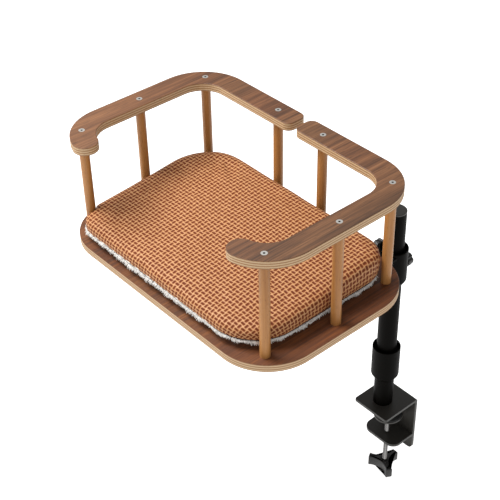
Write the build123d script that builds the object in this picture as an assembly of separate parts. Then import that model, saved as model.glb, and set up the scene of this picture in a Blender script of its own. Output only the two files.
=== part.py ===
from build123d import *
import os
from math import cos, radians, sin

os.makedirs("parts", exist_ok=True)

# A cat's hammock bed on a desk clamp, in millimetres with +Z up. The origin is on the pole's axis, in the
# face under the clamp's top plate that rests on the desk. The bed's open front looks along -Y.

# Tray
tray_length = 500
tray_width = 326
tray_corner = 86
ply = 14
edge_break = 0.6
tray_top = 351
pole_from_tray_end = 98.5
pole_behind_tray = 41.5

# Rails and dowels
rail_inset = 3
rail_width = 40.5
rail_rise = 182
rail_gap = 11
rail_end_round = 13
rail_tip_angle = 75.4
dowel_angle = 45
corner_dowel_out = 2.5
dowel_r = 8
back_dowel_x = 50.5

# Countersunk screws in the dowels
screw_r = 2.5
screw_head_r = 4.9
screw_head_rim = 0.5
screw_length = 45
screw_hex_r = 1.9
screw_hex_depth = 2.2
screw_hole_gap = 0.25
thread_gap = 0.05
pilot_spare = 1

# Mat
mat_y = -11.25
mat_end_gap = 36
mat_side_gap = 21.25
mat_tight_share = 0.3
mat_wide_share = 0.58
mat_tilt = 6.2
mat_widest = 27
mat_undercut = 26
mat_crown_rise = 25.5
mat_crown_inset = 90
mat_fullness_share = 0.4
mat_dent_gap = 1
plush_angles = (-90, -70, -50, -30, -10)
mat_seam_angle = 1
mat_angles = (10, 27, 40, 53, 64, 73, 80)

# Pole, base tube and cap
tube_r = 17
tube_wall = 2
tube_gap = 0.05
pole_top = 415.5
cap_disc = 2.5
cap_plug = 12
cap_plug_gap = 0.1
cap_edge = 0.8
butt_gap = 0.3

# Collars
collar_r = 24
collar_length = 70
collar_foot_r = 18.7
collar_taper = 9
collar_round = 4
cup_r = 21.5
cup_depth = 8
cup_lip = 0.7
upper_collar_top = 342.5
lower_collar_top = 133.4
tube_in_collar = 32
grub_r = 3
grub_rise_low = 16
grub_rise_high = 52
grub_hex_r = 1.7
grub_hex_depth = 3

# Lock knobs on the upper collar
left_angle = 180
back_angle = 90
stud_r = 4
stud_gap = 0.1
stud_pole_gap = 0.3
left_stud_drop = 16
back_stud_drop = 40
knob_stand_off = 2.5
knob_r = 12.5
knob_thick = 11
knob_lobes = 6
knob_scallop_r = 4
knob_scallop_out = 15
knob_edge = 1
knob_socket = 8

# Bracket under the tray
bracket_plate_t = 4
bracket_half = 46
bracket_front = 190
bracket_back = 62
bracket_round = 14
tongue_half = 20
tongue_back = 30
rib_t = 5
rib_front = 172
rib_front_drop = 8
rib_back_drop = 46
wood_screw_r = 2
wood_screw_head_r = 4
wood_screw_head = 2
wood_screw_length = 14
wood_screw_x = 34
wood_screw_first_y = 176
wood_screw_pitch = 50
wood_screw_rows = 3
wood_screw_slot = 0.9

# Clamp
clamp_x = 3
clamp_y = 3
plate_half = 38
plate_back = 43
plate_t = 5
plate_corner = 4
bend_round = 3
back_plate_drop = 118
back_plate_corner = 10
jaw_drop = 79
jaw_reach = 51
jaw_corner = 18
clamp_screw_r = 4
clamp_hole_gap = 0.3
nut_flat_r = 9.2
nut_height = 8
pad_r = 26
pad_back_gap = 1
pad_top_drop = 33
pad_face = 2
pad_disc = 4
pad_edge = 1.2
pad_boss_r = 8
pad_boss = 6
pad_socket = 7
pad_socket_gap = 0.1
star_top_drop = 153
star_height = 22
star_r = 29.5
star_arms = 3
star_tip_angle = 12
star_waist = 11
star_edge = 1.5
star_socket = 14

# Heights and centres that follow from the sizes above
tray_bottom = tray_top - ply
tray_x = pole_from_tray_end - tray_length / 2
tray_y = -pole_behind_tray - tray_width / 2
mat_length = tray_length - 2 * mat_end_gap
mat_width = tray_width - 2 * mat_side_gap
rail_bottom = tray_top + rail_rise - ply
corner_x = tray_length / 2 - tray_corner
corner_y = tray_width / 2 - tray_corner
rail_outer_r = tray_corner - rail_inset
rail_mid_r = rail_outer_r - rail_width / 2
bore_r = tube_r + tube_gap
left_stud_z = upper_collar_top - left_stud_drop
back_stud_z = upper_collar_top - back_stud_drop
lower_collar_bottom = lower_collar_top - collar_length
pole_bottom = lower_collar_bottom + tube_in_collar + butt_gap
grub_heights = (lower_collar_bottom + grub_rise_low, lower_collar_bottom + grub_rise_high)
clamp_inner_y = plate_back - plate_t
clamp_screw_y = clamp_y + clamp_inner_y - pad_back_gap - pad_r
turn = 360


def save(name, *solids):
    shape = solids[0] if len(solids) == 1 else Compound(children=list(solids))
    export_step(shape, f"parts/{name}.step")


def prism(sketch, z, height):
    return extrude(Pos(0, 0, z) * sketch, amount=height)


def turned(*points):
    return revolve(Plane.XZ * make_face(Polyline(*points, close=True)), Axis.Z)


def rod(radius, bottom, top):
    return Pos(0, 0, bottom) * Cylinder(radius, top - bottom, align=(Align.CENTER, Align.CENTER, Align.MIN))


def over_tray(shape, x=0, y=0, z=0):
    return Pos(tray_x + x, tray_y + y, z) * shape


def broken_edges(board, size):
    faces = board.faces().sort_by(Axis.Z)
    return chamfer(faces[0].edges() + faces[-1].edges(), size)


# Places of the four dowels on one side, from the tray's centre, with side +1 right and -1 left
def dowel_spots(side):
    reach = rail_mid_r + corner_dowel_out
    reach_x = corner_x + reach * cos(radians(dowel_angle))
    reach_y = corner_y + reach * sin(radians(dowel_angle))
    return {
        "front": (side * reach_x, -reach_y),
        "side": (side * (corner_x + rail_mid_r), 0),
        "corner": (side * reach_x, reach_y),
        "back": (side * back_dowel_x, corner_y + rail_mid_r),
    }


def all_spots():
    return list(dowel_spots(1).values()) + list(dowel_spots(-1).values())


# Outline of the countersunk screw, head down to tip, and of its hole when a wider shank is given
def screw_form(shank_r, length):
    cone = screw_head_rim + screw_head_r - shank_r
    return turned((0, 0), (screw_head_r, 0), (screw_head_r, -screw_head_rim), (shank_r, -cone),
                  (shank_r, -length), (0, -length))


def countersunk_screw():
    hexagon = RegularPolygon(screw_hex_r, 6)
    return screw_form(screw_r, screw_length) - extrude(hexagon, amount=-screw_hex_depth)


def screw_hole():
    return screw_form(screw_r + screw_hole_gap, ply)


def upside_down(shape):
    return Rot(X=180) * shape


# Tray board with a countersunk hole under each dowel and blind holes for the bracket's screws
def tray_board():
    outline = RectangleRounded(tray_length, tray_width, tray_corner)
    board = broken_edges(prism(outline, tray_bottom, ply), edge_break)
    for x, y in all_spots():
        board -= Pos(x, y, tray_bottom) * upside_down(screw_hole())
    board = over_tray(board)
    pilot_end = wood_screw_length - bracket_plate_t + pilot_spare
    pilot = rod(wood_screw_r + thread_gap, tray_bottom, tray_bottom + pilot_end)
    for x, y in wood_screw_spots():
        board -= Pos(x, y, 0) * pilot
    return board


# Flat shape of the right rail: a band along the tray's outline, cut at the back gap and past the front corner
def rail_outline():
    length = tray_length - 2 * rail_inset
    width = tray_width - 2 * rail_inset
    band = RectangleRounded(length, width, rail_outer_r)
    band -= RectangleRounded(length - 2 * rail_width, width - 2 * rail_width, rail_outer_r - rail_width)
    angle = radians(rail_tip_angle)
    far = (corner_x + tray_length * cos(angle), -corner_y - tray_length * sin(angle))
    front_cut = Polyline((corner_x, -corner_y), far, (-tray_length, far[1]), (-tray_length, -corner_y),
                         close=True)
    band -= make_face(front_cut)
    left_part = Pos(rail_gap / 2 - tray_length / 2, 0) * Rectangle(tray_length, 2 * tray_width)
    band -= left_part
    tip = (corner_x + rail_mid_r * cos(angle), -corner_y - rail_mid_r * sin(angle))
    band += Pos(*tip) * Circle(rail_width / 2)
    end_x = rail_gap / 2
    end_corners = band.vertices().filter_by_position(Axis.X, end_x - edge_break, end_x + edge_break)
    return fillet(end_corners, rail_end_round)


def rail(side):
    arm = broken_edges(prism(rail_outline(), rail_bottom, ply), edge_break)
    for x, y in dowel_spots(1).values():
        arm -= Pos(x, y, rail_bottom + ply) * screw_hole()
    if side < 0:
        arm = arm.mirror(Plane.YZ)
    return over_tray(arm)


def dowel(x, y):
    pin = rod(dowel_r, tray_top, rail_bottom)
    bore_depth = screw_length - ply + pilot_spare
    for low, high in ((tray_top, tray_top + bore_depth), (rail_bottom - bore_depth, rail_bottom)):
        pin -= rod(screw_r + thread_gap, low, high)
    return over_tray(pin, x, y)


# Level of the mat at a height over the tray, tilted up to the back the more the higher it lies. Its front left
# and back right corners are tighter than the other two
def mat_section(height, inset):
    half_width = mat_width / 2 - inset
    outline = Rectangle(mat_length - 2 * inset, 2 * half_width)
    for sign, share in ((1, mat_tight_share), (-1, mat_wide_share)):
        corners = outline.vertices().filter_by(lambda corner: sign * corner.X * corner.Y > 0)
        outline = fillet(corners, share * half_width)
    return Pos(0, 0, tray_top + height) * Rot(X=mat_tilt * height / (mat_widest + mat_crown_rise)) * outline


# Below its widest level the mat's side is a quarter ellipse, and above it a fuller curve up to the crown
def plush_level(angle):
    return mat_section(mat_widest * (1 + sin(radians(angle))), mat_undercut * (1 - cos(radians(angle))))


def crown_level(angle):
    rise = mat_crown_rise * sin(radians(angle)) ** mat_fullness_share
    return mat_section(mat_widest + rise, mat_crown_inset * (1 - cos(radians(angle)) ** mat_fullness_share))


# The mat's front left corner laps round the dowel there, which dents it
def on_tray(sections):
    dent = rod(dowel_r + mat_dent_gap, tray_top, rail_bottom)
    return over_tray(loft(sections), 0, mat_y) - over_tray(dent, *dowel_spots(-1)["front"])


def plush_base():
    return on_tray([plush_level(angle) for angle in plush_angles] + [crown_level(mat_seam_angle)])


def mat_top():
    return on_tray([crown_level(angle) for angle in (mat_seam_angle,) + mat_angles])


# Collar, bored for the tube, with an open cup on top and a foot that narrows towards the tube
def collar(top):
    bottom = top - collar_length
    body = turned((bore_r, bottom), (collar_foot_r, bottom), (collar_r, bottom + collar_taper),
                  (collar_r, top), (cup_r, top), (cup_r, top - cup_depth), (bore_r, top - cup_depth))
    shoulder = body.edges().filter_by(GeomType.CIRCLE).filter_by_position(
        Axis.Z, bottom + collar_taper - cup_lip, bottom + collar_taper + cup_lip)
    body = fillet(shoulder, collar_round)
    lip = body.edges().filter_by(GeomType.CIRCLE).filter_by_position(Axis.Z, top - cup_lip, top + cup_lip)
    return chamfer(lip, cup_lip)


# Turns something built up the Z axis so that it points out of the pole, towards an angle round it
def outward(shape, angle, z):
    return Pos(0, 0, z) * Rot(Z=angle) * Rot(Y=90) * shape


def upper_collar():
    body = collar(upper_collar_top)
    for angle, z in ((left_angle, left_stud_z), (back_angle, back_stud_z)):
        body -= outward(rod(stud_r + stud_gap, 0, 2 * collar_r), angle, z)
    return body


def lock_stud(angle, z):
    return outward(rod(stud_r, tube_r + stud_pole_gap, collar_r + knob_stand_off + knob_socket), angle, z)


def lock_knob(angle, z):
    face = Circle(knob_r)
    for step in range(knob_lobes):
        face -= Rot(Z=step * turn / knob_lobes) * Pos(knob_scallop_out, 0) * Circle(knob_scallop_r)
    base = collar_r + knob_stand_off
    head = broken_edges(prism(face, base, knob_thick), knob_edge)
    return outward(head - rod(stud_r, base, base + knob_socket), angle, z)


# Bracket: a plate under the tray with a tongue welded to the collar, and a rib below it
def bracket_plate():
    outline = Polyline((-bracket_half, -bracket_front), (bracket_half, -bracket_front),
                       (bracket_half, -bracket_back), (tongue_half, -tongue_back), (tongue_half, 0),
                       (-tongue_half, 0), (-tongue_half, -tongue_back), (-bracket_half, -bracket_back),
                       close=True)
    face = make_face(outline)
    face = fillet(face.vertices().filter_by_position(Axis.Y, -bracket_front, -bracket_back), bracket_round)
    plate = prism(face, tray_bottom - bracket_plate_t, bracket_plate_t)
    for x, y in wood_screw_spots():
        plate -= Pos(x, y, 0) * rod(wood_screw_r + screw_hole_gap, tray_bottom - bracket_plate_t, tray_bottom)
    return plate - rod(collar_r, 0, tray_top)


def bracket_rib():
    top = tray_bottom - bracket_plate_t
    bottom = top - rib_back_drop
    front_bottom = top - rib_front_drop
    outline = Polyline((-rib_front, top), (-rib_front, front_bottom), (-collar_r, bottom), (0, bottom), (0, top),
                       close=True)
    side = make_face(outline)
    web = extrude(Plane.YZ * side, amount=rib_t / 2, both=True)
    return web - rod(collar_r, 0, tray_top)


def wood_screw_spots():
    rows = [-wood_screw_first_y + row * wood_screw_pitch for row in range(wood_screw_rows)]
    return [(x, y) for x in (-wood_screw_x, wood_screw_x) for y in rows]


def bracket_screw():
    head = rod(wood_screw_head_r, -wood_screw_head, 0)
    slot = Pos(0, 0, -wood_screw_head) * Box(2 * wood_screw_head_r, wood_screw_slot, wood_screw_slot)
    return head - slot + rod(wood_screw_r, 0, wood_screw_length)


# Clamp frame: a bent plate, open to the front, with a jaw across it and its back reaching below the jaw
def clamp_frame():
    inner = clamp_inner_y
    jaw_front = inner - jaw_reach
    jaw_bottom = -jaw_drop - plate_t
    outline = Polyline((-plate_half, 0), (-plate_half, plate_t), (plate_back, plate_t),
                       (plate_back, -back_plate_drop), (inner, -back_plate_drop), (inner, jaw_bottom),
                       (jaw_front, jaw_bottom), (jaw_front, -jaw_drop), (inner, -jaw_drop), (inner, 0),
                       close=True)
    frame = extrude(Plane.YZ * make_face(outline), amount=plate_half, both=True)
    frame = fillet(frame.edges().filter_by(Axis.Y).sort_by(Axis.Z)[:2], back_plate_corner)
    frame = fillet(frame.edges().filter_by(Axis.X).sort_by(Axis.Z)[-2:].sort_by(Axis.Y)[-1], bend_round)
    uprights = frame.edges().filter_by(Axis.Z).group_by(Axis.Y)
    frame = fillet(uprights[1], jaw_corner)
    uprights = frame.edges().filter_by(Axis.Z).group_by(Axis.Y)
    frame = fillet(uprights[0], plate_corner)
    hole = over_screw(rod(clamp_screw_r + clamp_hole_gap, jaw_bottom, -jaw_drop))
    return Pos(clamp_x, clamp_y, 0) * frame - hole


def over_screw(shape):
    return Pos(clamp_x, clamp_screw_y, 0) * shape


def jaw_nut():
    top = -jaw_drop - plate_t
    nut = prism(RegularPolygon(nut_flat_r, 6), top - nut_height, nut_height)
    return over_screw(nut - rod(clamp_screw_r + thread_gap, top - nut_height, top))


def pad_bottom():
    return -pad_top_drop - pad_face - pad_disc - pad_boss


def pressure_pad():
    disc_bottom = -pad_top_drop - pad_face - pad_disc
    disc = rod(pad_r, disc_bottom, disc_bottom + pad_disc)
    disc = fillet(disc.edges().sort_by(Axis.Z)[0], pad_edge)
    pad = disc + rod(pad_boss_r, pad_bottom(), disc_bottom)
    return over_screw(pad - rod(clamp_screw_r + pad_socket_gap, pad_bottom(), pad_bottom() + pad_socket))


def pad_rubber():
    face = rod(pad_r - pad_edge, -pad_top_drop - pad_face, -pad_top_drop)
    return over_screw(face)


def clamp_screw():
    return over_screw(rod(clamp_screw_r, -star_top_drop - star_socket, pad_bottom() + pad_socket - butt_gap))


# Three-armed knob: a disc hollowed by a big circle between each two arms
def star_knob():
    edge_angle = radians(turn / star_arms / 2 - star_tip_angle)
    tip_x = star_r * cos(edge_angle)
    tip_y = star_r * sin(edge_angle)
    centre = (tip_x ** 2 + tip_y ** 2 - star_waist ** 2) / (2 * (tip_x - star_waist))
    face = Circle(star_r)
    for arm in range(star_arms):
        hollow = Pos(centre, 0) * Circle(centre - star_waist)
        face -= Rot(Z=back_angle + (arm + 0.5) * turn / star_arms) * hollow
    knob = broken_edges(prism(face, -star_top_drop - star_height, star_height), star_edge)
    return over_screw(knob - rod(clamp_screw_r, -star_top_drop - star_socket, -star_top_drop))


# Tubes, cap and the lower collar's grub screws
def main_pole():
    top = pole_top - cap_disc
    return rod(tube_r, pole_bottom, top) - rod(tube_r - tube_wall, pole_bottom, top)


def base_tube():
    top = pole_bottom - butt_gap
    return rod(tube_r, plate_t, top) - rod(tube_r - tube_wall, plate_t, top)


def pole_cap():
    disc = rod(tube_r, pole_top - cap_disc, pole_top)
    disc = chamfer(disc.edges().sort_by(Axis.Z)[-1], cap_edge)
    plug_r = tube_r - tube_wall - cap_plug_gap
    return disc + rod(plug_r, pole_top - cap_disc - cap_plug, pole_top - cap_disc)


def lower_collar():
    body = collar(lower_collar_top)
    for z in grub_heights:
        body -= outward(rod(grub_r + thread_gap, 0, 2 * collar_r), back_angle, z)
    return body


def grub_screw(z):
    screw = rod(grub_r, tube_r + stud_pole_gap, collar_r - stud_pole_gap)
    socket = prism(RegularPolygon(grub_hex_r, 6), collar_r - stud_pole_gap - grub_hex_depth, grub_hex_depth)
    return outward(screw - socket, back_angle, z)


# Clamp and base
save("clamp_frame", clamp_frame())
save("jaw_nut", jaw_nut())
save("base_tube", base_tube())
save("lower_collar", lower_collar())
save("collar_grub_screws", *[grub_screw(z) for z in grub_heights])
save("pressure_pad", pressure_pad())
save("pad_rubber", pad_rubber())
save("clamp_screw", clamp_screw())
save("star_knob", star_knob())

# Pole
save("main_pole", main_pole())
save("pole_cap", pole_cap())

# Carriage on the pole
save("upper_collar", upper_collar())
save("left_lock_stud", lock_stud(left_angle, left_stud_z))
save("left_lock_knob", lock_knob(left_angle, left_stud_z))
save("back_lock_stud", lock_stud(back_angle, back_stud_z))
save("back_lock_knob", lock_knob(back_angle, back_stud_z))
save("bracket_plate", bracket_plate())
save("bracket_rib", bracket_rib())
bracket_bottom = tray_bottom - bracket_plate_t
save("bracket_screws", *[Pos(x, y, bracket_bottom) * bracket_screw() for x, y in wood_screw_spots()])

# Bed
save("tray_board", tray_board())
save("tray_screws", *[over_tray(upside_down(countersunk_screw()), x, y, tray_bottom) for x, y in all_spots()])
for side, side_name in ((-1, "left"), (1, "right")):
    save(f"{side_name}_rail", rail(side))
    for place, (x, y) in dowel_spots(side).items():
        save(f"{side_name}_{place}_dowel", dowel(x, y))
save("rail_screws", *[over_tray(countersunk_screw(), x, y, rail_bottom + ply) for x, y in all_spots()])
save("plush_base", plush_base())
save("mat_top", mat_top())
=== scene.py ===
from math import asin, atan2, cos, degrees, hypot, pi, radians, sin
from random import Random

import bpy
from mathutils import Matrix, Vector, noise
from mathutils.bvhtree import BVHTree


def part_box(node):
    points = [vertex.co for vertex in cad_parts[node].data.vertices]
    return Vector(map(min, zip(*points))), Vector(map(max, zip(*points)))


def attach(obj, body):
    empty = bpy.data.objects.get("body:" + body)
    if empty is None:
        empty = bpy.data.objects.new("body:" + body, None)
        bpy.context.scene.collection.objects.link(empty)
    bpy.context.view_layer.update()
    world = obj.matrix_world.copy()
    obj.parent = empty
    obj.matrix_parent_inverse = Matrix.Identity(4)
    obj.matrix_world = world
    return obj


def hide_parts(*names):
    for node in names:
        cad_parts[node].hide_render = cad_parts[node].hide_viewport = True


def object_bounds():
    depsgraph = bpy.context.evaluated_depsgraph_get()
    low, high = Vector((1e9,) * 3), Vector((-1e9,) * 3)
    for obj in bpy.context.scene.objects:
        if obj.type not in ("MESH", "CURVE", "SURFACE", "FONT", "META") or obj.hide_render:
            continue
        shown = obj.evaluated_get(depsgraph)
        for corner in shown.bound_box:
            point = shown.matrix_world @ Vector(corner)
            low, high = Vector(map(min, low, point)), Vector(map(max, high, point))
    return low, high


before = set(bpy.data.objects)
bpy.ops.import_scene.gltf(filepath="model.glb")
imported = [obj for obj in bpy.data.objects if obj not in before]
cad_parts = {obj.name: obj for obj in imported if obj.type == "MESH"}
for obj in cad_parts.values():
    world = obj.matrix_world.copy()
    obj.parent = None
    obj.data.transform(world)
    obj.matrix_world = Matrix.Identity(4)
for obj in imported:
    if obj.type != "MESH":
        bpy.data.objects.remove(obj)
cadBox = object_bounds()
print("frame loaded:", len(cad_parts), "nodes")


# Shader building
class Wire:
    def __init__(self, shader, socket):
        self.shader = shader
        self.socket = socket

    def __add__(self, other):
        return self.shader.math("ADD", self, other)

    def __sub__(self, other):
        return self.shader.math("SUBTRACT", self, other)

    def __rsub__(self, other):
        return self.shader.math("SUBTRACT", other, self)

    def __mul__(self, other):
        return self.shader.math("MULTIPLY", self, other)

    def __truediv__(self, other):
        return self.shader.math("DIVIDE", self, other)

    def __pow__(self, other):
        return self.shader.math("POWER", self, other)

    def __lt__(self, other):
        return self.shader.math("LESS_THAN", self, other)

    def __gt__(self, other):
        return self.shader.math("GREATER_THAN", self, other)

    __radd__ = __add__
    __rmul__ = __mul__


# Short names for the surface's sockets
socketNames = {
    "baseColor": "Base Color",
    "roughness": "Roughness",
    "metallic": "Metallic",
    "specular": "Specular IOR Level",
    "sheen": "Sheen Weight",
    "sheenRoughness": "Sheen Roughness",
    "emission": "Emission Color",
    "glow": "Emission Strength",
}


class Finish:
    def __init__(self, name, **constants):
        self.material = bpy.data.materials.new(name)
        self.material.use_nodes = True
        self.tree = self.material.node_tree
        self.surface = self.tree.nodes["Principled BSDF"]
        for key, value in constants.items():
            self.surface.inputs[socketNames[key]].default_value = value

    def feed(self, socket, value):
        if isinstance(value, Wire):
            self.tree.links.new(value.socket, socket)
        else:
            socket.default_value = value

    # Any node: its type, its settings, its sockets and which output is wanted
    def add(self, kind, settings=None, sockets=None, output=0):
        node = self.tree.nodes.new("ShaderNode" + kind)
        for key, value in (settings or {}).items():
            if key == "stops":
                while len(node.color_ramp.elements) < len(value):
                    node.color_ramp.elements.new(0.5)
                for element, (place, colour) in zip(node.color_ramp.elements, value):
                    element.position = place
                    element.color = (*colour, 1)
            else:
                setattr(node, key, value)
        for key, value in (sockets or {}).items():
            self.feed(node.inputs[key], value)
        return Wire(self, node.outputs[output])

    def math(self, operation, *values):
        return self.add("Math", {"operation": operation}, dict(enumerate(values)))

    def scaled(self, vector, factors):
        return self.add("VectorMath", {"operation": "MULTIPLY"}, {0: vector, 1: factors})

    def parts(self, vector):
        first = self.add("SeparateXYZ", None, {0: vector})
        return [Wire(self, output) for output in first.socket.node.outputs]

    def position(self):
        return self.add("TexCoord", output="Object")

    def noise(self, vector, scale, detail=2, roughness=0.5):
        given = {"Vector": vector, "Scale": scale, "Detail": detail, "Roughness": roughness}
        return self.add("TexNoise", None, given)

    def smooth(self, value, low, high):
        return self.add("MapRange", {"interpolation_type": "SMOOTHSTEP"}, {0: value, 1: low, 2: high})

    def ramp(self, value, *stops):
        return self.add("ValToRGB", {"stops": stops}, {0: value})

    def mix(self, mask, first, second, blend="MIX"):
        colours = [value if isinstance(value, Wire) else (*value, 1) for value in (first, second)]
        settings = {"data_type": "RGBA", "blend_type": blend}
        return self.add("Mix", settings, {0: mask, 6: colours[0], 7: colours[1]}, 2)

    def bump(self, height, distance, strength=1.0):
        normal = self.add("Bump", None, {"Height": height, "Distance": distance, "Strength": strength})
        self.feed(self.surface.inputs["Normal"], normal)

    def paint(self, **values):
        for key, value in values.items():
            self.feed(self.surface.inputs[socketNames[key]], value)
        return self.material


# Walnut-faced plywood, grain along Y, with the plies showing on the edges
walnut = {
    "dark": (0.038, 0.017, 0.008),
    "middle": (0.128, 0.058, 0.026),
    "light": (0.245, 0.122, 0.058),
    "trayTint": (0.95, 0.68, 0.34),
    "railTint": (1.0, 0.96, 0.86),
    "plyPale": (0.55, 0.41, 0.25),
    "plyTan": (0.31, 0.16, 0.062),
    "bandScale": 17,
    "figureScale": 150,
    "streakScale": 400,
    "toneStops": (0.28, 0.5, 0.74),  # of dark, middle and light
    "plies": 7,
    "veneerShare": 0.05,  # of the board's thickness
    "roughness": 0.42,
}


def walnutBoard(name, board, tint):
    low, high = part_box(board)
    finish = Finish(name)
    place = finish.position()
    z = finish.parts(place)[2]
    along = finish.scaled(place, (1, 0.09, 1))
    bands = finish.noise(along, walnut["bandScale"], 3, 0.55)
    figure = finish.noise(finish.scaled(place, (1, 0.035, 1)), walnut["figureScale"], 3, 0.6)
    streaks = finish.noise(finish.scaled(place, (1, 0.02, 1)), walnut["streakScale"], 2, 0.6)
    tone = bands * 0.5 + figure * 0.55 + streaks * 0.5 - 0.28
    shades = (walnut["dark"], walnut["middle"], walnut["light"])
    veneer = finish.ramp(tone, *zip(walnut["toneStops"], shades))
    hue = finish.smooth(finish.noise(along, 7, 1), 0.35, 0.7)
    veneer = finish.mix(hue * 0.35, veneer, (0.30, 0.125, 0.07), "OVERLAY")
    pores = finish.smooth(finish.noise(finish.scaled(place, (1, 0.045, 1)), 900, 1), 0.62, 0.70)
    veneer = finish.mix(pores * 0.6, veneer, walnut["dark"])
    veneer = finish.mix(1.0, veneer, tint, "MULTIPLY")
    # Plies, from the height in the board
    wander = finish.noise(place, 60, 2) * 0.02
    height = (z - low.z) / (high.z - low.z) + wander - 0.01
    layer = finish.math("PINGPONG", height * walnut["plies"] * 0.5 + 0.25, 0.5)
    fibre = finish.noise(finish.scaled(place, (1, 1, 6)), 260, 3)
    tan = finish.smooth(layer, 0.21, 0.29)
    edge = finish.mix(tan, walnut["plyPale"], walnut["plyTan"])
    glue = finish.smooth(finish.math("PINGPONG", height * walnut["plies"], 0.5), 0.44, 0.5)
    edge = finish.mix(glue * 0.35, edge, (0.30, 0.17, 0.08))
    edge = finish.mix(fibre * 0.5, edge, (0.66, 0.48, 0.29), "MULTIPLY")
    skin = (height > 1 - walnut["veneerShare"]) + (height < walnut["veneerShare"])
    edge = finish.mix(skin, edge, walnut["middle"])
    normal = finish.add("NewGeometry", output="Normal")
    facing = finish.math("ABSOLUTE", finish.parts(normal)[2])
    sawn = facing < 0.6
    relief = streaks * 0.4 + pores * -0.5 + sawn * fibre
    finish.bump(relief, 0.00025, 0.6)
    rough = walnut["roughness"] + (1 - streaks) * 0.16 + sawn * 0.15
    return finish.paint(baseColor=finish.mix(sawn, veneer, edge), roughness=rough)


# Beech dowels, grain up and down
beech = {
    "pale": (0.43, 0.200, 0.062),
    "warm": (0.28, 0.112, 0.028),
    "fleck": (0.18, 0.07, 0.022),
    "roughness": 0.32,
    "specular": 0.28,
}


def beechDowel(name):
    finish = Finish(name, specular=beech["specular"])
    place = finish.position()
    grain = finish.noise(finish.scaled(place, (1, 1, 0.04)), 240, 3, 0.6)
    cloud = finish.noise(finish.scaled(place, (1, 1, 0.3)), 22, 2)
    wood = finish.ramp(grain * 0.6 + cloud * 0.5, (0.3, beech["warm"]), (0.72, beech["pale"]))
    flecks = finish.smooth(finish.noise(finish.scaled(place, (1, 1, 0.14)), 1100, 1), 0.64, 0.70)
    wood = finish.mix(flecks * 0.55, wood, beech["fleck"])
    finish.bump(grain * 0.5 - flecks * 0.4, 0.0002, 0.5)
    return finish.paint(baseColor=wood, roughness=beech["roughness"] + grain * 0.15)


# Metals, plastics and rubber
hardware = {
    "steelBlack": (0.0024, 0.0021, 0.0016),
    "steelWorn": (0.006, 0.0055, 0.0045),
    "clampBlack": (0.026, 0.0245, 0.021),
    "screwSteel": (0.44, 0.43, 0.42),
    "zinc": (0.78, 0.77, 0.75),
    "nickel": (0.97, 0.95, 0.90),
    "oxide": (0.045, 0.043, 0.042),
    "plasticBlack": (0.004, 0.0037, 0.0033),
    "plasticGrey": (0.022, 0.020, 0.017),
    "rubber": (0.018, 0.018, 0.018),
}


def powderCoat(name, colour, roughness, gloss, grainSize=1300):
    finish = Finish(name, specular=gloss)
    place = finish.position()
    peel = finish.noise(place, grainSize, 2)
    cloud = finish.noise(place, 18, 3)
    rubbed = finish.smooth(finish.noise(place, 70, 4, 0.7), 0.63, 0.78)
    finish.bump(peel, 0.00012, 0.55)
    tint = finish.mix(rubbed * 0.35, colour, hardware["steelWorn"])
    return finish.paint(baseColor=tint, roughness=roughness - 0.07 + cloud * 0.14 + peel * 0.05)


def brightMetal(name, colour, roughness, shadedBelow=None):
    finish = Finish(name, metallic=1.0)
    place = finish.position()
    brushed = finish.noise(finish.scaled(place, (1, 1, 0.2)), 1800, 2)
    cloud = finish.noise(place, 120, 3)
    tint = finish.mix(cloud, colour, [channel * 0.82 for channel in colour])
    if shadedBelow is not None:  # painted shade in the hexagon socket, below this height
        height = finish.parts(place)[2]
        socket = finish.smooth(height, shadedBelow + 0.0002, shadedBelow)
        tint = finish.mix(socket, tint, (0.03, 0.026, 0.022))
    finish.bump(brushed, 0.00004, 0.5)
    return finish.paint(baseColor=tint, roughness=roughness + brushed * 0.12 + cloud * 0.08)


def moulded(name, colour, roughness, grainSize=2200):
    finish = Finish(name)
    place = finish.position()
    texture = finish.noise(place, grainSize, 2)
    handled = finish.noise(place, 55, 3)
    finish.bump(texture, 0.00008, 0.5)
    tint = finish.mix(handled * 0.5, colour, [channel * 1.5 for channel in colour])
    return finish.paint(baseColor=tint, roughness=roughness - 0.06 + handled * 0.16)


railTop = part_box("right_rail")[1].z
materials = {
    "tray": walnutBoard("walnutTray", "tray_board", walnut["trayTint"]),
    "rail": walnutBoard("walnutRail", "right_rail", walnut["railTint"]),
    "dowel": beechDowel("beechDowel"),
    "steel": powderCoat("blackPowderCoat", hardware["steelBlack"], 0.45, 0.03),
    "clamp": powderCoat("clampPowderCoat", hardware["clampBlack"], 0.36, 0.35),
    "zinc": brightMetal("brightZinc", hardware["zinc"], 0.2),
    "screw": brightMetal("screwSteel", hardware["screwSteel"], 0.12),
    # the rail screws' hexagon sockets get painted shade below this height
    "nickel": brightMetal("nickelScrew", hardware["nickel"], 0.24, railTop - 0.0008),
    "nickelUnder": brightMetal("nickelTrayScrew", hardware["nickel"], 0.24),
    "oxide": brightMetal("blackOxide", hardware["oxide"], 0.34),
    "plastic": moulded("blackPlastic", hardware["plasticBlack"], 0.36),
    "cap": moulded("satinCap", hardware["plasticGrey"], 0.34),
    "rubber": moulded("padRubber", hardware["rubber"], 0.78, 3000),
}
finishOf = {
    "tray": ["tray_board"],
    "rail": ["left_rail", "right_rail"],
    "dowel": [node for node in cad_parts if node.endswith("_dowel")],
    "steel": ["base_tube", "lower_collar", "main_pole", "upper_collar", "bracket_plate", "bracket_rib"],
    "clamp": ["clamp_frame", "pressure_pad", "jaw_nut"],
    "zinc": ["clamp_screw", "left_lock_stud", "back_lock_stud"],
    "nickel": ["rail_screws"],
    "nickelUnder": ["tray_screws"],
    "oxide": ["collar_grub_screws", "bracket_screws"],
    "plastic": ["left_lock_knob", "back_lock_knob", "star_knob"],
    "cap": ["pole_cap"],
    "rubber": ["pad_rubber"],
}
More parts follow.
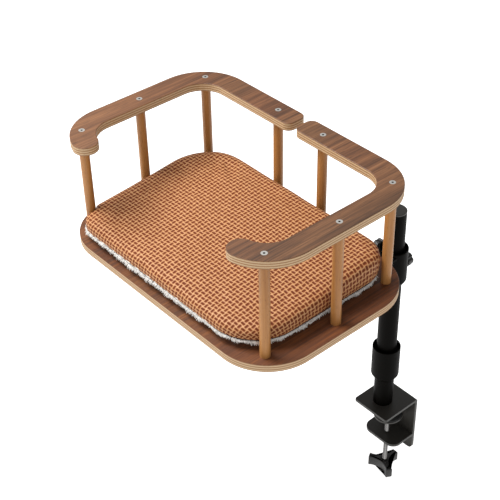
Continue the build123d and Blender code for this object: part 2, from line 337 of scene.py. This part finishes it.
for finishName, nodeNames in finishOf.items():
    for nodeName in nodeNames:
        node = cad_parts[nodeName]
        node.data.materials.clear()
        node.data.materials.append(materials[finishName])
print("hard parts finished:", len(materials), "materials")


# Meshes from rings of points, bottom ring first. A zipped top is closed by strips from side to side
def ringMesh(name, rings, zipped=False):
    count = len(rings[0])
    points = [point for ring in rings for point in ring]
    faces = []
    for level in range(len(rings) - 1):
        for step in range(count):
            following = (step + 1) % count
            lower, upper = level * count, (level + 1) * count
            faces.append((lower + step, lower + following, upper + following, upper + step))
    faces.append(tuple(reversed(range(count))))
    top = len(points) - count
    if zipped:
        for step in range(count // 2 - 1):
            faces.append((top + step, top + step + 1, top + count - 2 - step, top + count - 1 - step))
    else:
        faces.append(tuple(range(top, len(points))))
    mesh = bpy.data.meshes.new(name)
    mesh.from_pydata(points, [], faces)
    mesh.shade_smooth()
    piece = bpy.data.objects.new(name, mesh)
    bpy.context.scene.collection.objects.link(piece)
    return piece


def settle(piece, body, material, slot, *replaced):
    piece.data.materials.clear()
    piece.data.materials.append(material)
    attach(piece, body)
    if replaced:
        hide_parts(*replaced)


def refined(piece, levels):
    modifier = piece.modifiers.new("refine", "SUBSURF")
    modifier.levels = levels
    modifier.render_levels = levels


# Mat: a crowned cushion under a woven cover, tilted up to the back, on a plush underside
mat = {
    "centreY": -0.01125,  # from the tray's centre
    "halfLength": 0.214,
    "halfWidth": 0.14175,
    "tightShare": 0.3,  # front left and back right corners, of the half width
    "wideShare": 0.58,
    "tilt": 6.2,
    "widest": 0.027,  # height over the tray
    "undercut": 0.026,
    "crownRise": 0.0255,
    "crownIn": 0.090,
    "fullness": 0.4,
    "seamAngle": 1,
    "seamDrop": 0.008,  # how much lower the seam comes towards the back right
    "seamDropMost": 0.016,
    "seamIn": 0.0022,
    "seamRound": 0.0006,
    "sideAngles": (2, 5, 12, 22, 32, 42, 53, 64, 73, 80),
    "crownSteps": ((0.07, 0.0007), (0.095, 0.0011), (0.12, 0.0013), (0.136, 0.0014)),  # inset and rise
    "innermost": 0.138,  # largest inset of a ring
    "insideInset": 0.03,  # where the cover and the plush close, inside the mat
    "insideHeight": 0.02,
    "pullIn": 0.0012,  # of each side, at its middle
    "around": 176,  # points round the edge
    "swell": 0.0035,  # what the start is smaller by
    "swellFrom": 0.008,  # height over the widest line
    "swellOver": 0.01,
    "voxel": 0.005,
    "pressure": 4,
    "frames": 20,
    "cap": 0.0045,
    "heldOver": 0.003,  # cloth points up to this height over the seam stay
    "blend": 0.45,  # share of the blown shape
    "blendFrom": 0.93,  # share of the crown's rise
    "blendOver": 0.06,
    "unevenness": 0.0008,
    "unevenFrom": 0.24,
    "unevenOver": 0.4,
    "lookDown": 0.2,
    "dentReach": 0.011,
    "dowelGap": 0.0006,
}
trayLow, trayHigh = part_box("tray_board")
trayTop = trayHigh.z
matX = (trayLow.x + trayHigh.x) / 2
matY = (trayLow.y + trayHigh.y) / 2 + mat["centreY"]
matTop = mat["widest"] + mat["crownRise"]


# How far a value has gone from a start over a length, from 0 to 1
def portion(value, start, length):
    return min(max((value - start) / length, 0), 1)


# A closed line's points, the same distance apart
def evenly(path, count):
    closed = path + [path[0]]
    lengths = [0.0]
    for first, second in zip(closed, closed[1:]):
        lengths.append(lengths[-1] + (second - first).length)
    made, leg = [], 0
    for step in range(count):
        target = lengths[-1] * step / count
        while lengths[leg + 1] < target:
            leg += 1
        share = (target - lengths[leg]) / max(lengths[leg + 1] - lengths[leg], 1e-9)
        made.append(closed[leg].lerp(closed[leg + 1], share))
    return made


def outwards(path):
    made = []
    for step, point in enumerate(path):
        along = path[(step + 1) % len(path)] - path[step - 1]
        made.append(Vector((along.y, -along.x)).normalized())
    return made


# The mat's outline at one level, drawn in a little between its corners
def matOutline(inset):
    halfLength = mat["halfLength"] - inset
    halfWidth = mat["halfWidth"] - inset
    path = []
    for quarter, (signX, signY) in enumerate(((1, 1), (-1, 1), (-1, -1), (1, -1))):
        radius = halfWidth * (mat["tightShare"] if signX == signY else mat["wideShare"])
        for step in range(17):
            angle = (quarter + step / 16) * pi / 2
            path.append(Vector((signX * (halfLength - radius) + radius * cos(angle),
                                signY * (halfWidth - radius) + radius * sin(angle))))
    path = evenly(path, mat["around"])
    pulled = []
    for point, out in zip(path, outwards(path)):
        alongX = cos(pi / 2 * abs(point.x) / halfLength) * abs(out.y)
        alongY = cos(pi / 2 * abs(point.y) / halfWidth) * abs(out.x)
        pulled.append(point - out * (mat["pullIn"] * max(alongX + alongY, 0)))
    return pulled


# Inset and height of the side at an angle, from -90 on the tray to 90 at the crown
def sideProfile(angle):
    turn = radians(angle)
    if angle < 0:
        return mat["undercut"] * (1 - cos(turn)), mat["widest"] * (1 + sin(turn))
    return (mat["crownIn"] * (1 - cos(turn) ** mat["fullness"]),
            mat["widest"] + mat["crownRise"] * sin(turn) ** mat["fullness"])


seamHeight = sideProfile(mat["seamAngle"])[1]


def matPoint(point, height):
    tilt = radians(mat["tilt"]) * height / matTop
    return Vector((matX + point.x, matY + point.y * cos(tilt), trayTop + height + point.y * sin(tilt)))


def matRing(inset, height):
    return [matPoint(point, height) for point in matOutline(inset)]


outerPath = list(zip(matOutline(0), outwards(matOutline(0))))


# The profile's angle at the seam, beside a point of the outline
def seamAngleAt(point):
    towards = point.x / mat["halfLength"] + point.y / mat["halfWidth"]
    drop = min(max((towards + 0.5) * mat["seamDrop"], 0), mat["seamDropMost"])
    return mat["seamAngle"] - degrees(asin(drop / mat["widest"]))


# Height over the tray of a point's level, before the tilt
def levelOf(place):
    return (place.z - trayTop) / (1 + (place.y - matY) * radians(mat["tilt"]) / matTop)


dowels = []
for nodeName in finishOf["dowel"]:
    low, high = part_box(nodeName)
    dowels.append(((low + high).xy / 2, (high.x - low.x) / 2, nodeName == "left_front_dowel"))


# Where a ray from inside a circle leaves it
def edgeOfCircle(source, ray, axis, radius):
    along = (axis - source).dot(ray)
    beside = (axis - source - ray * along).length
    return along + max(radius ** 2 - beside ** 2, 0) ** 0.5


# Keeps a point of the mat clear of the dowels. The front left one dents the mat's corner
def dented(place, extra=0.0):
    for axis, radius, pressing in dowels:
        away = (axis - Vector((matX, matY))).normalized()
        source = axis + away * (radius * 0.92)
        reach = mat["dentReach"] if pressing else radius + mat["dowelGap"] + extra
        ray = place.xy - source
        distance = ray.length
        if (place.xy - axis).length > reach or distance < 1e-6:
            continue
        ray /= distance
        near = edgeOfCircle(source, ray, axis, radius + mat["dowelGap"] + extra)
        if pressing:
            far = edgeOfCircle(source, ray, axis, reach)
            distance = near + distance * (far - near) / far
        else:
            distance = max(distance, near)
        place = Vector((*(source + ray * distance), place.z))
    return place


# Levels of the cover as inset and height, from inside the seam up to the crown
def coverLevels():
    levels = [(mat["insideInset"], seamHeight), (mat["seamIn"] * 1.6, seamHeight),
              (mat["seamIn"], seamHeight + mat["seamRound"])]
    levels += [sideProfile(angle) for angle in mat["sideAngles"]]
    top = levels[-1][1]
    return levels + [(inset, top + rise) for inset, rise in mat["crownSteps"]]


# A ring of the cover at or below the widest line, with a share of the way down to the seam
def lowRing(share, inset, rise=0.0):
    ring = []
    for point, away in outerPath:
        turnIn, height = sideProfile(share * min(seamAngleAt(point), 0))
        ring.append(matPoint(point - away * (turnIn + inset), height + rise))
    return ring


# The cover as it is, or a start for the cloth that is smaller and ends at the widest line
def coverMesh(smaller):
    rings = []
    if not smaller:
        rings = [matRing(mat["insideInset"], mat["insideHeight"]), lowRing(1, mat["seamIn"] * 1.6),
                 lowRing(1, mat["seamIn"], mat["seamRound"])]
        rings += [lowRing(share, 0) for share in (0.92, 0.6, 0.3)]
    for inset, height in coverLevels()[0 if smaller else 3:]:
        lower = smaller * portion(height - mat["widest"], mat["swellFrom"], mat["swellOver"])
        rings.append(matRing(min(inset + smaller, mat["innermost"]), height - lower))
    return ringMesh("woven_cover", rings, zipped=True)


def applied(piece):
    shown = piece.evaluated_get(bpy.context.evaluated_depsgraph_get())
    mesh = bpy.data.meshes.new_from_object(shown)
    piece.modifiers.clear()
    piece.data = mesh


clothSettings = {
    "quality": 5,
    "mass": 0.25,
    "tension_stiffness": 20,
    "compression_stiffness": 20,
    "bending_stiffness": 1.5,
    "use_pressure": True,
    "uniform_pressure_force": mat["pressure"],
}


# The crown as cloth blown up by pressure, from a start that is a little smaller
def inflated():
    piece = coverMesh(mat["swell"])
    modifier = piece.modifiers.new("remesh", "REMESH")
    modifier.mode = "VOXEL"
    modifier.voxel_size = mat["voxel"]
    applied(piece)
    start = [vertex.co.copy() for vertex in piece.data.vertices]
    held = piece.vertex_groups.new(name="held")
    low = [step for step, point in enumerate(start) if levelOf(point) < seamHeight + mat["heldOver"]]
    held.add(low, 1.0, "REPLACE")
    cloth = piece.modifiers.new("cloth", "CLOTH")
    for setting, value in clothSettings.items():
        setattr(cloth.settings, setting, value)
    cloth.settings.effector_weights.gravity = 0
    cloth.settings.vertex_group_mass = held.name
    cloth.point_cache.frame_end = mat["frames"]
    for step in range(1, mat["frames"] + 1):
        bpy.context.scene.frame_set(step)
    applied(piece)
    bpy.context.scene.frame_set(1)
    for vertex, origin in zip(piece.data.vertices, start):
        moved = vertex.co - origin
        if moved.length > mat["cap"]:
            vertex.co = origin + moved * (mat["cap"] / moved.length)
    points = [vertex.co.copy() for vertex in piece.data.vertices]
    surface = BVHTree.FromPolygons(points, [tuple(face.vertices) for face in piece.data.polygons])
    bpy.data.objects.remove(piece)
    return surface


# Coordinates for the weave: across the top they are X and Y, and on the sides they go on down the slope
def weaveCoordinates(mesh):
    levels = coverLevels()[:2:-1] + [sideProfile(angle) for angle in (0, -12, -24, -38)]
    drops = [(levels[0][1], 0.0)]
    for (inset, height), (nextInset, nextHeight) in zip(levels, levels[1:]):
        outward = inset - nextInset
        drops.append((nextHeight, drops[-1][1] + hypot(outward, height - nextHeight) - outward))
    attribute = mesh.attributes.new("weave", "FLOAT_VECTOR", "POINT")
    for vertex, value in zip(mesh.vertices, attribute.data):
        height = levelOf(vertex.co)
        drop = drops[-1][1]
        for (upper, upperDrop), (lower, lowerDrop) in zip(drops, drops[1:]):
            if height > lower:
                share = min(max((upper - height) / (upper - lower), 0), 1)
                drop = upperDrop + (lowerDrop - upperDrop) * share
                break
        flat = Vector((vertex.co.x - matX, vertex.co.y - matY))
        corner = mat["halfWidth"] * (mat["tightShare"] if flat.x * flat.y > 0 else mat["wideShare"])
        over = Vector((max(abs(flat.x) - mat["halfLength"] + corner, 0),
                       max(abs(flat.y) - mat["halfWidth"] + corner, 0)))
        if over.length > 1e-6:
            over = over.normalized() * drop
            flat += Vector((over.x if flat.x > 0 else -over.x, over.y if flat.y > 0 else -over.y))
        value.vector = (flat.x, flat.y, 0)


weave = {
    "pitch": (0.0074, 0.0069),  # along X and along Y
    "mark": (0.60, 0.25),  # half length and half width of a dark mark, of the pitch
    # dark and rustAndShade are partly rust-brown colour and partly painted shade in the holes and dives; pale
    # is partly a painted highlight
    "dark": (0.105, 0.018, 0.002),
    "rustAndShade": (0.180, 0.040, 0.006),
    "light": (0.310, 0.120, 0.040),
    "pale": (0.530, 0.280, 0.125),
    "stops": (0.12, 0.44, 0.60, 0.90),  # where dark, rustAndShade, light and pale stand from a mark's middle outwards
    "wander": 0.7,  # how far the strips stray, of the pitch
    "fray": 0.9,
    "specular": 0.3,
    "roughness": 0.5,
}


# Pale strips with short dark marks between them, every second one turned across the others. The marks are
# partly the strips' rust-brown colour and partly painted shade where the strips dive under each other,
# darkest in the holes; the palest tone, farthest from the marks, is partly a painted highlight on the
# crossings
def wovenMat(name):
    finish = Finish(name, specular=weave["specular"])
    place = finish.add("Attribute", {"attribute_name": "weave"}, output="Vector")
    u, v = finish.parts(finish.scaled(place, (1 / weave["pitch"][0], 1 / weave["pitch"][1], 1)))[:2]
    u = u + (finish.noise(place, 26, 2) - 0.5) * weave["wander"]
    v = v + (finish.noise(place, 15, 1) - 0.5) * weave["wander"]
    besideU = finish.math("PINGPONG", u, 0.5)
    besideV = finish.math("PINGPONG", v, 0.5)
    even = finish.math("COSINE", u * pi) * finish.math("COSINE", v * pi) > 0
    lengthwise = besideV + even * (besideU - besideV)
    crosswise = besideU + besideV - lengthwise
    reach = ((lengthwise / weave["mark"][0]) ** 2 + (crosswise / weave["mark"][1]) ** 2) ** 0.5
    flake = finish.noise(place, 420, 2)
    worn = finish.noise(place, 60, 3)
    edge = reach + (flake - 0.5) * weave["fray"] + (worn - 0.5) * 0.5
    # the ramp's dark end is partly painted shade and its pale end partly a painted highlight
    shades = (weave["dark"], weave["rustAndShade"], weave["light"], weave["pale"])
    colour = finish.ramp(edge * 0.5, *zip(weave["stops"], shades))
    tone = finish.smooth(finish.noise(place, 130, 2), 0.35, 0.7)
    colour = finish.mix(tone * 0.35, colour, (0.80, 0.66, 0.52), "MULTIPLY")
    strip = finish.smooth(edge, 0.7, 1.1)
    finish.bump(finish.smooth(reach, 0.2, 1.5) + flake * 0.25, 0.0010, 0.7)
    return finish.paint(baseColor=colour, roughness=weave["roughness"] + (1 - strip) * 0.25 + flake * 0.1)


blown = inflated()
cover = coverMesh(0.0)
refined(cover, 1)
applied(cover)
above = Vector((0, 0, mat["lookDown"]))
down = Vector((0, 0, -1))
if blown:  # the blown crown, raised to the height of the mat's own
    crownTop = matPoint(Vector((0, 0)), coverLevels()[-1][1])
    raised = crownTop.z - blown.ray_cast(crownTop + above, down)[0].z
    print("blown crown raised by", round(raised * 1000, 2), "mm")
for vertex in cover.data.vertices:
    share = (levelOf(vertex.co) - mat["widest"]) / mat["crownRise"]
    crown = blown.ray_cast(vertex.co + above, down)[0] if blown else None
    if crown:
        weight = mat["blend"] * portion(share, mat["blendFrom"], mat["blendOver"])
        vertex.co.z += weight * (crown.z + raised - vertex.co.z)
    lift = portion(share, mat["unevenFrom"], mat["unevenOver"])
    ripple = noise.noise(vertex.co * 14) + 0.5 * noise.noise(vertex.co * 33)
    vertex.co.z += lift * mat["unevenness"] * ripple
weaveCoordinates(cover.data)
for vertex in cover.data.vertices:
    vertex.co = dented(vertex.co)
cover.data.shade_smooth()
refined(cover, 1)
settle(cover, "mat", wovenMat("wovenMat"), "woven_mat", "mat_top")
print("mat cover made:", len(cover.data.vertices), "points")


# Plush underside: a rounded base with tufts of pile standing out of it
plush = {
    "tufts": 5200,
    "fromAngle": -15,
    "hollow": 0.5,  # how far the underside is drawn in, less is further
    "levels": (-90, -75, -60, -46, -33, -20, -10, -3, 0),  # angles of the side
    "lip": ((0.0006, 0.0025), (0.0018, 0.0006), (0.006, 0)),  # inset, and depth under the seam
    "tuck": 0.25,  # extra inset where the cover comes lower, of the height
    "tuckMost": 0.003,
    "ruffle": 0.0012,
    "ruffleScale": 130,
    "length": (0.0022, 0.0052),
    "wave": (0.65, 0.9),  # shortest share of the length, and how much the waves add
    "waveScale": 75,
    "thickness": 0.0008,
    "girth": (0.7, 1.3),
    "strand": ((0.0, 1.0), (0.45, 0.85), (0.8, 0.5), (1.0, 0.12)),  # share of the length, and girth
    "rootDrop": 0.0028,
    "rootIn": 0.001,
    "spread": 0.7,  # sideways
    "droop": (-0.9, 0.1),
    "sag": (0.1, 0.4),
    "seed": 4,
    "colour": (0.90, 0.875, 0.84),
    "shade": (0.62, 0.58, 0.53),
}


def underside(angle):
    inset, height = sideProfile(angle)
    return mat["undercut"] * (inset / mat["undercut"]) ** plush["hollow"], height


# Levels of the plush as inset and height, from the tray up to the seam
def plushLevels():
    levels = [underside(angle) for angle in plush["levels"]]
    levels += [(inset, seamHeight - depth) for inset, depth in plush["lip"]]
    return levels + [(mat["insideInset"], seamHeight)]


def plushRing(inset, height):
    ring = []
    for point, away in outerPath:
        tucked = max(height - sideProfile(seamAngleAt(point))[1], 0) * plush["tuck"]
        place = matPoint(point - away * (inset + min(tucked, plush["tuckMost"])), height)
        ruffle = plush["ruffle"] * noise.noise(place * plush["ruffleScale"]) * (0 if tucked else 1)
        away = (place.xy - Vector((matX, matY))).normalized() * ruffle
        ring.append(dented(place + Vector((*away, 0))))
    return ring


# Roots lie in a band under the seam, each with the slope that the side has there
def tuftRoot(chance):
    step = int(chance.random() * len(outerPath))
    point, away = outerPath[step]
    point = point.lerp(outerPath[(step + 1) % len(outerPath)][0], chance.random())
    angle = min(seamAngleAt(point), 0) + plush["fromAngle"] * chance.random() ** 1.5
    inset, height = sideProfile(angle)
    inset += 0.0004 + 0.05 * (seamHeight - height) * (angle < -8)
    return matPoint(point - away * inset, height - plush["rootDrop"]), away, angle


# A tuft is a short three-sided strand that thins to its tip
def tuftRings(root, direction, sag, length, thickness):
    side = direction.cross(Vector((0, 0, 1))).normalized()
    lift = side.cross(direction).normalized()
    rings = []
    for share, girth in plush["strand"]:
        centre = root + direction * (length * share) - Vector((0, 0, sag * share * share))
        rings.append([centre + (side * cos(turn) + lift * sin(turn)) * (thickness * girth)
                      for turn in (0, 2 * pi / 3, 4 * pi / 3)])
    return rings


def tuft(chance):
    root, away, angle = tuftRoot(chance)
    tangent = Vector((-away.y, away.x, 0))
    out = Vector((away.x, away.y, 0))
    slope = radians(angle) * 0.8
    away = out * cos(slope) + Vector((0, 0, sin(slope)))
    leaning = tangent * chance.uniform(-plush["spread"], plush["spread"])
    leaning += Vector((0, 0, chance.uniform(*plush["droop"])))
    direction = (away + leaning).normalized()
    shortest, added = plush["wave"]
    waves = max(noise.noise(root * plush["waveScale"]) + 0.3, 0)
    length = chance.uniform(*plush["length"]) * (shortest + added * waves)
    sag = length * chance.uniform(*plush["sag"])
    root = dented(root - away * plush["rootIn"])
    tip = root + direction * length
    if dented(tip, plush["rootIn"]) != tip and angle > -20:  # against a dowel
        length *= 0.5
    return tuftRings(root, direction, sag, length, plush["thickness"] * chance.uniform(*plush["girth"]))


def plushMesh():
    piece = ringMesh("plush_underside", [plushRing(inset, height) for inset, height in plushLevels()])
    chance = Random(plush["seed"])
    points = [vertex.co.copy() for vertex in piece.data.vertices]
    faces = [tuple(face.vertices) for face in piece.data.polygons]
    for count in range(plush["tufts"]):
        start = len(points)
        for ring in tuft(chance):
            points.extend(ring)
        for level in range(3):
            for side in range(3):
                lower, upper = start + level * 3, start + level * 3 + 3
                faces.append((lower + side, lower + (side + 1) % 3, upper + (side + 1) % 3, upper + side))
        faces.append((start + 2, start + 1, start))
        faces.append((start + 9, start + 10, start + 11))
    for point in points:
        point.z = max(point.z, trayTop + 0.0002)
    mesh = bpy.data.meshes.new("plush_underside")
    mesh.from_pydata(points, [], faces)
    mesh.shade_smooth()
    piece.data = mesh
    return piece


def plushPile(name):
    finish = Finish(name, sheen=0.4, sheenRoughness=0.6)
    place = finish.position()
    clumps = finish.noise(place, 210, 3)
    fibres = finish.noise(place, 1700, 2)
    colour = finish.mix(finish.smooth(clumps + fibres * 0.3, 0.42, 0.72), plush["shade"], plush["colour"])
    finish.bump(clumps + fibres * 0.4, 0.0012, 0.6)
    return finish.paint(baseColor=colour, roughness=0.9 + fibres * 0.1)


pile = plushMesh()
settle(pile, "mat", plushPile("plushPile"), "plush", "plush_base")
print("plush made:", plush["tufts"], "tufts")


# Threaded clamp screw
thread = {"pitch": 0.00125, "depth": 0.0006, "around": 24, "plainTop": 0.006}


def threadedRod():
    low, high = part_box("clamp_screw")
    middle = (low + high) / 2
    radius = (high.x - low.x) / 2
    around, pitch = thread["around"], thread["pitch"]
    bottom, top = low.z, high.z - thread["plainTop"]
    steps = int((top - bottom - 2 * pitch) / pitch * around)
    points, faces = [], []
    # The thread, wound upwards
    for step in range(steps + 1):
        angle = 2 * pi * step / around
        height = bottom + pitch * (0.5 + step / around)
        for reach, rise in ((radius - thread["depth"], 0), (radius, pitch / 2)):
            points.append((middle.x + reach * cos(angle), middle.y + reach * sin(angle), height + rise))
    for step in range(steps):
        root, crest, nextRoot, nextCrest = 2 * step, 2 * step + 1, 2 * step + 2, 2 * step + 3
        faces.append((root, nextRoot, nextCrest, crest))
        if step + 1 + around <= steps:
            above, nextAbove = root + 2 * around, nextRoot + 2 * around
            faces.append((crest, nextCrest, nextAbove, above))
    # The core under it and the plain end
    core = radius - thread["depth"] * 0.98
    first = len(points)
    levels = [(core, bottom), (core, top - pitch), (radius, top), (radius, high.z)]
    for reach, height in levels:
        for step in range(around):
            angle = 2 * pi * step / around
            points.append((middle.x + reach * cos(angle), middle.y + reach * sin(angle), height))
    for level in range(len(levels) - 1):
        for step in range(around):
            lower, upper = first + level * around, first + (level + 1) * around
            following = (step + 1) % around
            faces.append((lower + step, lower + following, upper + following, upper + step))
    faces.append(tuple(first + step for step in reversed(range(around))))
    faces.append(tuple(len(points) - around + step for step in range(around)))
    mesh = bpy.data.meshes.new("threaded_screw")
    mesh.from_pydata(points, [], faces)
    piece = bpy.data.objects.new("threaded_screw", mesh)
    bpy.context.scene.collection.objects.link(piece)
    return piece


rodPiece = threadedRod()
settle(rodPiece, "screw", materials["screw"], "bright_steel", "clamp_screw")


# Star knob with rounded arms
star = {"arms": 3, "waist": 0.011, "tipAngle": 12, "round": 0.003, "firstArm": 90, "around": 144}


def starOutline(radius):
    half = radians(180 / star["arms"] - star["tipAngle"])
    tip = Vector((radius * cos(half), radius * sin(half)))
    centre = (tip.length_squared - star["waist"] ** 2) / (2 * (tip.x - star["waist"]))
    hollow = centre - star["waist"]
    path = []
    for arm in range(star["arms"]):
        middle = radians(star["firstArm"] + 360 * arm / star["arms"])
        for step in range(9):  # the arm's end
            angle = middle + radians(star["tipAngle"]) * (step / 4 - 1)
            path.append(Vector((radius * cos(angle), radius * sin(angle))))
        between = middle + pi / star["arms"]
        spread = atan2(tip.y, centre - tip.x)
        for step in range(1, 16):  # the hollow after it
            angle = pi + spread * (1 - step / 8)
            x, y = centre + hollow * cos(angle), hollow * sin(angle)
            path.append(Vector((x * cos(between) - y * sin(between), x * sin(between) + y * cos(between))))
    return evenly(path, star["around"])


def starKnob():
    low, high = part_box("star_knob")
    screwLow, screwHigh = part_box("clamp_screw")
    middle = (screwLow + screwHigh) / 2
    radius = high.y - middle.y
    path = starOutline(radius)
    out = outwards(path)
    edge = star["round"]
    rings = []
    for height, side in ((low.z, 1), (high.z, -1)):
        levels = []
        for angle in (0, 30, 60, 90):
            inset = edge * (1 - sin(radians(angle)))
            rise = edge * (1 - cos(radians(angle)))
            levels.append((inset, height + side * rise))
        if side < 0:
            levels.reverse()
        rings += [[(middle.x + (point - away * inset).x, middle.y + (point - away * inset).y, level)
                   for point, away in zip(path, out)] for inset, level in levels]
    return ringMesh("star_grip", rings)


starPiece = starKnob()
settle(starPiece, "screw", materials["plastic"], "black_plastic", "star_knob")
print("clamp screw made")

# Floor, light and camera
studio = {
    "floor": (0.93, 0.93, 0.925),
    "floorGlow": 0.75,
    "floorGap": 0.040,  # room for the clamp screw turned all the way down
    "floorReach": 12,
    "world": 0.45,
    "keyPower": 48,
    "keySize": 0.9,
    "keyFrom": (-0.56, -0.46, 1.42),
    "fillPower": 4,
    "fillSize": 1.6,
    "fillFrom": (0.9, -0.9, 0.7),
    "distance": 1.9,
}
centre = (cadBox[0] + cadBox[1]) / 2
floorMesh = bpy.data.meshes.new("floor")
floorHeight = cadBox[0].z - studio["floorGap"]
floorCorners = [(x * studio["floorReach"], y * studio["floorReach"], floorHeight)
                for x, y in ((-1, -1), (1, -1), (1, 1), (-1, 1))]
floorMesh.from_pydata(floorCorners, [], [(0, 1, 2, 3)])
floor = bpy.data.objects.new("floor", floorMesh)
bpy.context.scene.collection.objects.link(floor)
floorFinish = Finish("paleFloor", roughness=0.9, emission=(1, 1, 1, 1), glow=studio["floorGlow"])
paper = floorFinish.noise(floorFinish.position(), 3, 1)
floorFinish.paint(baseColor=floorFinish.mix(paper * 0.2, studio["floor"], (0.96, 0.96, 0.955)))
floorMesh.materials.append(floorFinish.material)

world = bpy.data.worlds.new("studioWorld")
bpy.context.scene.world = world
world.use_nodes = True
background = world.node_tree.nodes["Background"]
background.inputs["Color"].default_value = (1, 1, 1, 1)
background.inputs["Strength"].default_value = studio["world"]


def softLight(name, direction, power, size):
    light = bpy.data.lights.new(name, "AREA")
    light.energy = power
    light.size = size
    lamp = bpy.data.objects.new(name, light)
    bpy.context.scene.collection.objects.link(lamp)
    away = Vector(direction).normalized()
    lamp.location = centre + away * studio["distance"]
    lamp.rotation_euler = (-away).to_track_quat("-Z", "Y").to_euler()


softLight("keyLight", studio["keyFrom"], studio["keyPower"], studio["keySize"])
softLight("fillLight", studio["fillFrom"], studio["fillPower"], studio["fillSize"])

# The camera stands where the photo was taken from
view = {
    "place": (0.98422, -1.14571, 1.48012),
    "turn": 49.391,
    "tip": 52.678,
    "roll": -1.113,
    "lens": 84.874,
}
camera = bpy.data.objects.new("camera", bpy.data.cameras.new("camera"))
bpy.context.scene.collection.objects.link(camera)
turned = Matrix.Rotation(radians(view["turn"]), 4, "Z") @ Matrix.Rotation(radians(view["tip"]), 4, "X")
rolled = turned @ Matrix.Rotation(radians(view["roll"]), 4, "Z")
camera.matrix_world = Matrix.Translation(view["place"]) @ rolled
camera.data.lens = view["lens"]
camera.data.sensor_width = 36
camera.data.clip_end = 50
bpy.context.scene.camera = camera
bpy.context.scene.view_settings.view_transform = "Standard"
print("studio set")
